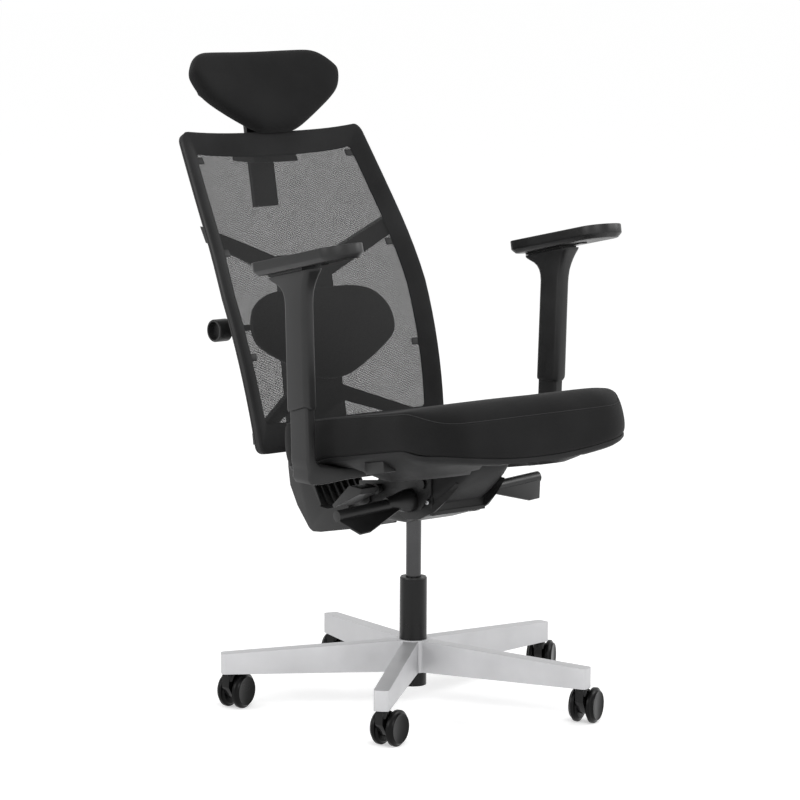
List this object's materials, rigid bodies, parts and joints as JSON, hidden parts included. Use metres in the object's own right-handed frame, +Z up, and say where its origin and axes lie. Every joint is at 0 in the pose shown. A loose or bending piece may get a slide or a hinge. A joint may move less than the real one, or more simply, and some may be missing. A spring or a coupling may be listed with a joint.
{
  "type": "swivel office chair",
  "caption": "High-back swivel office chair with a reclining mesh back, winged headrest, adjustable arms and lumbar, gas lift and a five-leg polished base on twin casters.",
  "frame": {"origin": "on the floor, under the centre of the gas column", "axes": "+Z up, the sitter faces -Y, +X is the sitter's left"},
  "size_m": [0.7447, 0.8498, 1.1881],
  "materials": {
    "aluminium": "satin cast and polished",
    "steel": "bright, lightly oiled",
    "column_black": "smooth black",
    "housing_metal": "semi-gloss black coat",
    "gloss_black": "glossy moulded",
    "black_plastic": "fine moulded texture",
    "soft_pad": "soft-touch foam skin",
    "cushion_fabric": "woven upholstery",
    "headrest_fabric": "woven upholstery",
    "mesh_fabric": "open elastic mesh"
  },
  "bodies": {
    "base": {"star_base": "aluminium", "column_tube": "column_black", "guide_bush": "black_plastic"},
    "piston": {"piston_rod": "steel", "thrust_bearing": "steel"},
    "mechanism": {"lift_tube": "steel", "mech_housing": "housing_metal", "mech_nose_cover": "gloss_black", "side_plates": "steel", "pivot_pins": "steel", "recline_spring": "steel"},
    "height_lever": {"height_lever": "black_plastic"},
    "tilt_lever": {"tilt_lever": "black_plastic"},
    "tension_lever": {"tension_lever": "black_plastic"},
    "back": {"back_carrier": "gloss_black", "back_spine": "gloss_black", "back_rim": "black_plastic", "back_mesh": "mesh_fabric", "headrest_bracket": "black_plastic"},
    "seat_frame": {"seat_carrier": "black_plastic", "arm_bracket_left": "aluminium", "arm_bracket_right": "aluminium", "arm_screws": "aluminium"},
    "seat": {"seat_shell": "gloss_black", "seat_cushion": "cushion_fabric"},
    "slide_handle": {"slide_handle": "black_plastic"},
    "lumbar": {"lumbar_pad": "black_plastic"},
    "lumbar_knob": {"lumbar_knob": "black_plastic"},
    "headrest_stem": {"headrest_stem": "black_plastic"},
    "headrest": {"headrest_shell": "gloss_black", "headrest_pad": "headrest_fabric", "headrest_pin": "steel"},
    "caster_1": {"caster_body_1": "gloss_black", "caster_pins_1": "steel"},
    "wheels_1": {"caster_wheels_1": "black_plastic"},
    "caster_2": {"caster_body_2": "gloss_black", "caster_pins_2": "steel"},
    "wheels_2": {"caster_wheels_2": "black_plastic"},
    "caster_3": {"caster_body_3": "gloss_black", "caster_pins_3": "steel"},
    "wheels_3": {"caster_wheels_3": "black_plastic"},
    "caster_4": {"caster_body_4": "gloss_black", "caster_pins_4": "steel"},
    "wheels_4": {"caster_wheels_4": "black_plastic"},
    "caster_5": {"caster_body_5": "gloss_black", "caster_pins_5": "steel"},
    "wheels_5": {"caster_wheels_5": "black_plastic"},
    "sleeve_left": {"arm_sleeve_left": "black_plastic", "pad_plate_left": "black_plastic"},
    "height_button_left": {"arm_height_button_left": "black_plastic"},
    "arm_pad_left": {"arm_pad_left": "soft_pad"},
    "pad_button_left": {"arm_pad_button_left": "black_plastic"},
    "sleeve_right": {"arm_sleeve_right": "black_plastic", "pad_plate_right": "black_plastic"},
    "height_button_right": {"arm_height_button_right": "black_plastic"},
    "arm_pad_right": {"arm_pad_right": "soft_pad"},
    "pad_button_right": {"arm_pad_button_right": "black_plastic"}
  },
  "joints": [
    {"name": "seat_swivel", "type": "hinge", "parent": "base", "child": "piston", "pos_m": [0, 0, 0.044], "axis": [0, 0, 1], "continuous": true},
    {"name": "seat_height", "type": "slide", "parent": "piston", "child": "mechanism", "axis": [0, 0, 1], "range_m": [-0.1, 0]},
    {"name": "caster_swivel_1", "type": "hinge", "parent": "base", "child": "caster_1", "pos_m": [-0.25738, -0.22216, 0.068], "axis": [0, 0, 1], "continuous": true},
    {"name": "wheel_spin_1", "type": "hinge", "parent": "caster_1", "child": "wheels_1", "pos_m": [-0.2345, -0.21491, 0.0325], "axis": [-0.3024, 0.9532, 0], "continuous": true},
    {"name": "caster_swivel_2", "type": "hinge", "parent": "base", "child": "caster_2", "pos_m": [0.13176, -0.31343, 0.068], "axis": [0, 0, 1], "continuous": true},
    {"name": "wheel_spin_2", "type": "hinge", "parent": "caster_2", "child": "wheels_2", "pos_m": [0.1534, -0.30306, 0.0325], "axis": [-0.4321, 0.9018, 0], "continuous": true},
    {"name": "caster_swivel_3", "type": "hinge", "parent": "base", "child": "caster_3", "pos_m": [0.33881, 0.02845, 0.068], "axis": [0, 0, 1], "continuous": true},
    {"name": "wheel_spin_3", "type": "hinge", "parent": "caster_3", "child": "wheels_3", "pos_m": [0.35797, 0.04289, 0.0325], "axis": [-0.6018, 0.7986, 0], "continuous": true},
    {"name": "caster_swivel_4", "type": "hinge", "parent": "base", "child": "caster_4", "pos_m": [0.07764, 0.33102, 0.068], "axis": [0, 0, 1], "continuous": true},
    {"name": "wheel_spin_4", "type": "hinge", "parent": "caster_4", "child": "wheels_4", "pos_m": [0.09939, 0.34116, 0.0325], "axis": [-0.4226, 0.9063, 0], "continuous": true},
    {"name": "caster_swivel_5", "type": "hinge", "parent": "base", "child": "caster_5", "pos_m": [-0.29082, 0.17613, 0.068], "axis": [0, 0, 1], "continuous": true},
    {"name": "wheel_spin_5", "type": "hinge", "parent": "caster_5", "child": "wheels_5", "pos_m": [-0.268, 0.18355, 0.0325], "axis": [-0.309, 0.9511, 0], "continuous": true},
    {"name": "height_lever_press", "type": "hinge", "parent": "mechanism", "child": "height_lever", "pos_m": [-0.065, -0.072, 0.398], "axis": [-1, 0, 0], "range_deg": [0, 10], "stiffness_Nm_per_rad": 4, "springref_deg": -5.73},
    {"name": "tilt_lever_turn", "type": "hinge", "parent": "mechanism", "child": "tilt_lever", "pos_m": [0.065, -0.072, 0.398], "axis": [-1, 0, 0], "range_deg": [0, 12]},
    {"name": "tension_lever_turn", "type": "hinge", "parent": "mechanism", "child": "tension_lever", "pos_m": [-0.065, 0.012, 0.408], "axis": [-1, 0, 0], "range_deg": [0, 12]},
    {"name": "back_recline", "type": "hinge", "parent": "mechanism", "child": "back", "pos_m": [0, 0.048, 0.385], "axis": [1, 0, 0], "range_deg": [0, 14]},
    {"name": "seat_tilt", "type": "hinge", "parent": "mechanism", "child": "seat_frame", "pos_m": [0, -0.105, 0.432], "axis": [1, 0, 0], "range_deg": [0, 6]},
    {"name": "seat_depth", "type": "slide", "parent": "seat_frame", "child": "seat", "axis": [0, -0.9833, 0.1822], "range_m": [0, 0.05]},
    {"name": "slide_handle_lift", "type": "slide", "parent": "seat", "child": "slide_handle", "axis": [-1, 0, 0], "range_m": [0, 0.005], "stiffness_N_per_m": 400, "springref_m": -0.003},
    {"name": "arm_height_left", "type": "slide", "parent": "seat_frame", "child": "sleeve_left", "axis": [0.0332, 0, 0.9995], "range_m": [-0.06, 0.03]},
    {"name": "arm_height_button_left", "type": "slide", "parent": "sleeve_left", "child": "height_button_left", "axis": [0, -1, 0], "range_m": [0, 0.002], "stiffness_N_per_m": 300, "springref_m": -0.002},
    {"name": "arm_pad_slide_left", "type": "slide", "parent": "sleeve_left", "child": "arm_pad_left", "axis": [0, -0.977, 0.213], "range_m": [-0.025, 0.025]},
    {"name": "pad_button_press_left", "type": "slide", "parent": "arm_pad_left", "child": "pad_button_left", "axis": [0.0324, 0.213, 0.9765], "range_m": [0, 0.0018], "stiffness_N_per_m": 300, "springref_m": -0.002},
    {"name": "arm_height_right", "type": "slide", "parent": "seat_frame", "child": "sleeve_right", "axis": [-0.0332, 0, 0.9995], "range_m": [-0.06, 0.03]},
    {"name": "arm_height_button_right", "type": "slide", "parent": "sleeve_right", "child": "height_button_right", "axis": [0, -1, 0], "range_m": [0, 0.002], "stiffness_N_per_m": 300, "springref_m": -0.002},
    {"name": "arm_pad_slide_right", "type": "slide", "parent": "sleeve_right", "child": "arm_pad_right", "axis": [0, -0.977, 0.213], "range_m": [-0.025, 0.025]},
    {"name": "pad_button_press_right", "type": "slide", "parent": "arm_pad_right", "child": "pad_button_right", "axis": [-0.0324, 0.213, 0.9765], "range_m": [0, 0.0018], "stiffness_N_per_m": 300, "springref_m": -0.002},
    {"name": "lumbar_knob_turn", "type": "hinge", "parent": "back", "child": "lumbar_knob", "pos_m": [0, 0.324, 0.676], "axis": [1, 0, 0], "range_deg": [0, 300]},
    {"name": "lumbar_depth", "type": "slide", "parent": "back", "child": "lumbar", "axis": [0, -1, 0], "range_m": [0, 0.012]},
    {"name": "headrest_height", "type": "slide", "parent": "back", "child": "headrest_stem", "axis": [0, 0.1908, 0.9816], "range_m": [0, 0.05]},
    {"name": "headrest_tilt", "type": "hinge", "parent": "headrest_stem", "child": "headrest", "pos_m": [0, 0.48275, 1.09691], "axis": [1, 0, 0], "range_deg": [-12, 0]}
  ],
  "couplings": [
    {"joint": "seat_tilt", "follows": "back_recline", "ratio": 0.42857},
    {"joint": "lumbar_knob_turn", "follows": "lumbar_depth", "rad_per_m": 436.3}
  ]
}
